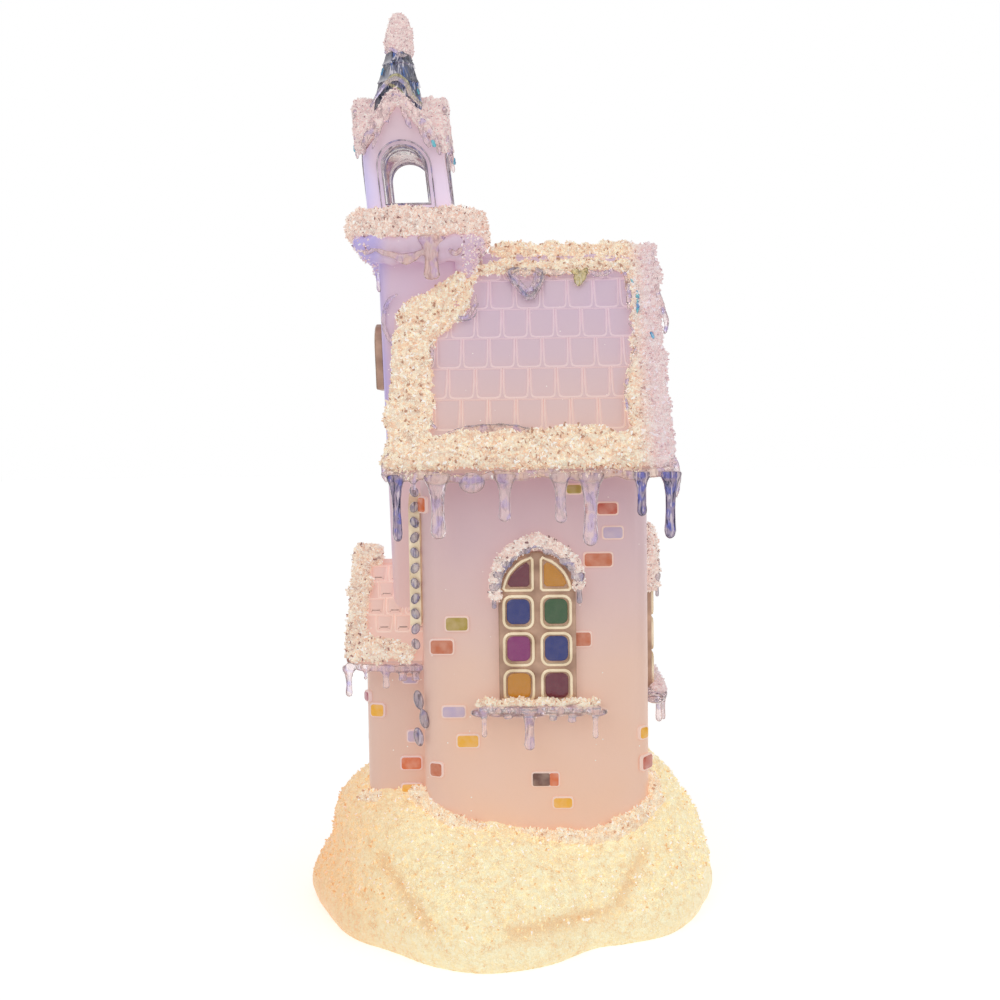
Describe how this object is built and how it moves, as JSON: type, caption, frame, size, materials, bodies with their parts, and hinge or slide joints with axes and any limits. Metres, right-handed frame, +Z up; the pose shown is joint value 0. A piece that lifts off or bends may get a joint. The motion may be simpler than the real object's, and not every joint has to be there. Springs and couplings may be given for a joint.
{
  "type": "lighted christmas village church ornament",
  "caption": "Lighted table ornament: a frosted acrylic church with a leaning bell tower, stained glass windows, icicles and a battery base in a snow mound.",
  "frame": {"origin": "centre of the snow base's footprint, on the surface that it stands on", "axes": "+Z up, -Y towards the viewer of the picture (the long wall with the arched window), -X towards the bell tower and porch"},
  "size_m": [0.14, 0.1402, 0.3046],
  "materials": {
    "snow": "white plastic coated with coarse clear granules, lit cream from within",
    "frosted_acrylic": "frosted clear acrylic, satin",
    "roof_acrylic": "frosted clear acrylic with polished shingle lips",
    "ice": "clear polished acrylic",
    "antique_gold": "satin antique gold paint on plastic",
    "stained_glass": "clear acrylic with translucent colours",
    "wood_brown": "brown painted plastic",
    "white_plastic": "moulded white plastic",
    "black_plastic": "moulded black plastic",
    "steel": "nickel plated",
    "cell_sleeve": "steel cell in a plain sleeve",
    "circuit_board": "fibreglass board",
    "lamp_lens": "clear epoxy lens",
    "red_insulation": "insulated wire",
    "black_insulation": "insulated wire"
  },
  "bodies": {
    "church": {"base_shell": "snow", "roof_snow_near": "snow", "roof_snow_far": "snow", "ridge_snow": "snow", "cornice_snow": "snow", "belfry_roof": "snow", "spire_snow_cap": "snow", "porch_snow": "snow", "window_hood_near": "snow", "window_hood_back": "snow", "window_hood_far": "snow", "nave_walls": "frosted_acrylic", "tower_walls": "frosted_acrylic", "belfry_walls": "frosted_acrylic", "porch_walls": "frosted_acrylic", "nave_roof": "roof_acrylic", "porch_roof": "roof_acrylic", "eave_ice_near": "ice", "eave_ice_far": "ice", "cornice_ice": "ice", "spire": "ice", "window_sill_near": "ice", "window_sill_back": "ice", "window_sill_far": "ice", "corner_drop_near": "ice", "corner_drop_far": "ice", "window_frame_near": "antique_gold", "window_frame_back": "antique_gold", "window_frame_far": "antique_gold", "front_window_near": "antique_gold", "front_window_far": "antique_gold", "tower_window": "antique_gold", "window_glass_near": "stained_glass", "window_glass_back": "stained_glass", "window_glass_far": "stained_glass", "porch_door": "wood_brown", "bottom_plate": "white_plastic", "battery_box": "black_plastic", "switch_housing": "black_plastic", "contact_spring_end": "steel", "contact_bridge_front": "steel", "contact_bridge_back": "steel", "contact_plate_end": "steel", "plate_screw_1": "steel", "plate_screw_2": "steel", "plate_screw_3": "steel", "plate_screw_4": "steel", "battery_1": "cell_sleeve", "battery_2": "cell_sleeve", "battery_3": "cell_sleeve", "led_board": "circuit_board", "led_lamp_1": "lamp_lens", "led_lamp_2": "lamp_lens", "led_lamp_3": "lamp_lens", "lead_red": "red_insulation", "lead_black": "black_insulation"},
    "door": {"battery_door": "white_plastic"},
    "slider": {"switch_slider": "black_plastic"}
  },
  "joints": [
    {"name": "switch_slide", "type": "slide", "parent": "church", "child": "slider", "axis": [0, 1, 0], "range_m": [0, 0.004]},
    {"name": "battery_door_hinge", "type": "hinge", "parent": "church", "child": "door", "pos_m": [-0.01833, -0.00006, 0.0025], "axis": [0, 1, 0], "range_deg": [0, 75]}
  ]
}
